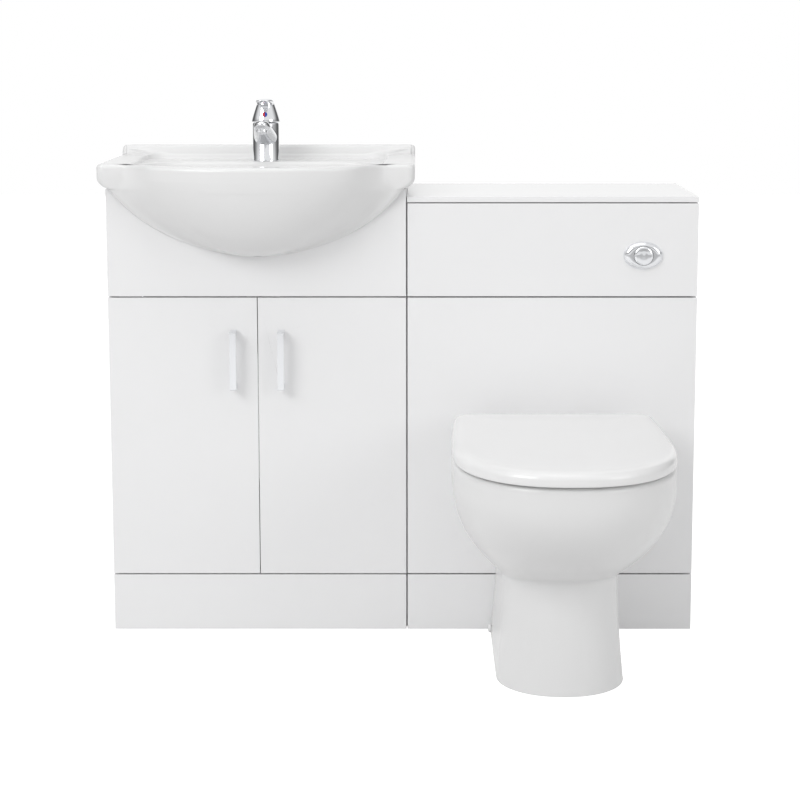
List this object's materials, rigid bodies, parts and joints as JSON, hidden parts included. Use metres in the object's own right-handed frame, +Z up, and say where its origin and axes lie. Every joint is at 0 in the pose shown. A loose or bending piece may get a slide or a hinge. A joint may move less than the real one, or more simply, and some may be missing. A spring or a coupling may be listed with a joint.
{
  "type": "toilet and basin combination unit",
  "caption": "Bow-fronted basin on a two-door vanity cabinet, joined to a back-to-wall toilet unit with a hidden cistern, pan, seat and push button.",
  "frame": {"origin": "on the floor, in the plane of the wall, at the middle of the two cabinets' joint width", "axes": "+X along the wall from the basin to the toilet, +Y into the wall, +Z up"},
  "size_m": [1.027, 0.806, 0.924],
  "materials": {
    "gloss_board": "white gloss foil on board",
    "ceramic": "white glaze",
    "chrome_plate": "polished",
    "plated_steel": "nickel plated",
    "white_plastic": "moulded",
    "pipe_plastic": "moulded",
    "grey_plastic": "moulded",
    "black_rubber": "moulded",
    "indicator_red": "half red, half blue"
  },
  "bodies": {
    "unit": {"vanity_side_left": "gloss_board", "vanity_side_right": "gloss_board", "vanity_base": "gloss_board", "vanity_back_rails": "gloss_board", "vanity_fascia": "gloss_board", "vanity_plinth": "gloss_board", "hinge_arms": "plated_steel", "wall_brackets": "plated_steel", "basin": "ceramic", "overflow_ring": "chrome_plate", "waste_body": "chrome_plate", "waste_backnut": "grey_plastic", "bottle_trap": "pipe_plastic", "trap_cup": "pipe_plastic", "trap_outlet": "pipe_plastic", "tap_body": "chrome_plate", "tap_cartridge": "grey_plastic", "tap_aerator": "chrome_plate", "tap_fixing": "grey_plastic", "toilet_side_left": "gloss_board", "toilet_side_right": "gloss_board", "toilet_rails": "gloss_board", "toilet_top_board": "gloss_board", "toilet_upper_panel": "gloss_board", "toilet_lower_panel": "gloss_board", "toilet_plinth": "gloss_board", "cistern_tank": "pipe_plastic", "cistern_cover": "pipe_plastic", "fill_valve": "grey_plastic", "flush_valve": "pipe_plastic", "flush_pipe": "pipe_plastic", "flush_plate": "chrome_plate", "button_shroud": "pipe_plastic", "shroud_nut": "grey_plastic", "pan": "ceramic", "soil_connector": "pipe_plastic", "flush_cone": "black_rubber", "pan_brackets": "plated_steel", "pan_screw_caps": "white_plastic", "seat_hinge_posts": "chrome_plate"},
    "links_left": {"hinge_links_left": "plated_steel"},
    "links_right": {"hinge_links_right": "plated_steel"},
    "door_left": {"door_left": "gloss_board", "handle_left": "chrome_plate", "handle_screws_left": "plated_steel", "hinge_cups_left": "plated_steel"},
    "door_right": {"door_right": "gloss_board", "handle_right": "chrome_plate", "handle_screws_right": "plated_steel", "hinge_cups_right": "plated_steel"},
    "spindle": {"tap_spindle": "chrome_plate"},
    "lever": {"tap_lever": "chrome_plate", "tap_indicator": "indicator_red"},
    "plug": {"waste_plug": "chrome_plate"},
    "button": {"flush_button": "chrome_plate"},
    "seal": {"flush_seal": "black_rubber"},
    "float": {"cistern_float": "pipe_plastic"},
    "lid": {"seat_lid": "white_plastic"},
    "seat": {"seat_ring": "white_plastic", "seat_buffers": "grey_plastic"}
  },
  "joints": [
    {"name": "links_left_turn", "type": "hinge", "parent": "unit", "child": "links_left", "pos_m": [-0.4795, -0.276, 0.345], "axis": [0, 0, 1], "range_deg": [0, 47.5]},
    {"name": "door_left_open", "type": "hinge", "parent": "links_left", "child": "door_left", "pos_m": [-0.498, -0.287, 0.345], "axis": [0, 0, -1], "range_deg": [0, 142.5]},
    {"name": "links_right_turn", "type": "hinge", "parent": "unit", "child": "links_right", "pos_m": [-0.0205, -0.276, 0.345], "axis": [0, 0, -1], "range_deg": [0, 47.5]},
    {"name": "door_right_open", "type": "hinge", "parent": "links_right", "child": "door_right", "pos_m": [-0.002, -0.287, 0.345], "axis": [0, 0, 1], "range_deg": [0, 142.5]},
    {"name": "tap_turn", "type": "hinge", "parent": "unit", "child": "spindle", "pos_m": [-0.249, -0.084, 0.882], "axis": [0, 0, 1], "range_deg": [-45, 45]},
    {"name": "tap_lift", "type": "hinge", "parent": "spindle", "child": "lever", "pos_m": [-0.249, -0.084, 0.884], "axis": [-1, 0, 0], "range_deg": [0, 20]},
    {"name": "plug_lift", "type": "slide", "parent": "unit", "child": "plug", "axis": [0, 0, 1], "range_m": [0, 0.009]},
    {"name": "button_press", "type": "slide", "parent": "unit", "child": "button", "axis": [0, 1, 0], "range_m": [0, 0.007], "stiffness_N_per_m": 400, "springref_m": -0.004},
    {"name": "seal_lift", "type": "slide", "parent": "unit", "child": "seal", "axis": [0, 0, 1], "range_m": [0, 0.021]},
    {"name": "float_rise", "type": "slide", "parent": "unit", "child": "float", "axis": [0, 0, 1], "range_m": [0, 0.07]},
    {"name": "lid_open", "type": "hinge", "parent": "unit", "child": "lid", "pos_m": [0.2575, -0.345, 0.384], "axis": [-1, 0, 0], "range_deg": [0, 93]},
    {"name": "seat_open", "type": "hinge", "parent": "unit", "child": "seat", "pos_m": [0.2575, -0.345, 0.384], "axis": [-1, 0, 0], "range_deg": [0, 90.3]}
  ],
  "couplings": [
    {"joint": "links_left_turn", "follows": "door_left_open", "ratio": 0.33333},
    {"joint": "links_right_turn", "follows": "door_right_open", "ratio": 0.33333},
    {"joint": "seal_lift", "follows": "button_press", "ratio": 2.9},
    {"joint": "seat_open", "follows": "lid_open", "ratio": 0.97}
  ]
}
